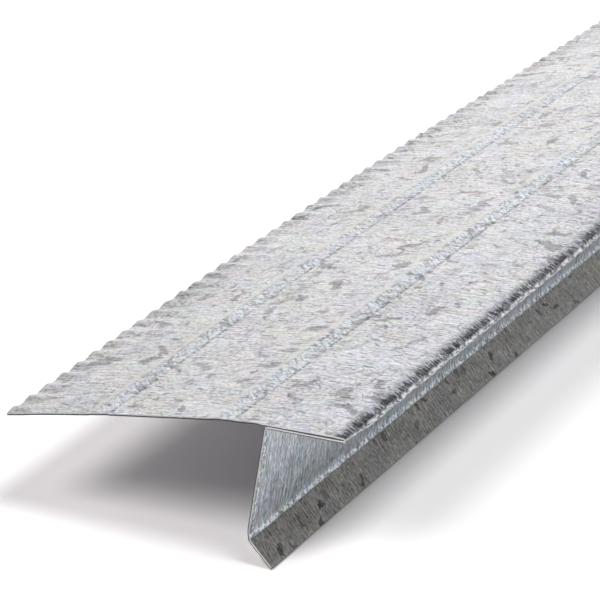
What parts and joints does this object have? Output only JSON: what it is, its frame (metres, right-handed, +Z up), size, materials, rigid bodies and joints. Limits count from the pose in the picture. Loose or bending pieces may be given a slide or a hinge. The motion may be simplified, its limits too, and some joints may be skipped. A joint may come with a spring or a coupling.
{
  "type": "roof drip edge",
  "caption": "Long roll-formed sheet steel drip edge: a crimped, beaded roof flange, a hemmed nose, a short leg and an angled kick-out lip.",
  "frame": {"origin": "centre of the bounding box's bottom, halfway along the strip, on the surface that the kick-out lip stands on", "axes": "+Y along the strip, +X from the roof flange towards the nose and the gutter, +Z up with the kick-out lip lowest"},
  "size_m": [0.0628, 3.048, 0.0259],
  "materials": {
    "galvanised_sheet": "galvanised, fine cross-grain, small spangle"
  },
  "bodies": {
    "root": {"drip_edge": "galvanised_sheet"}
  },
  "joints": []
}
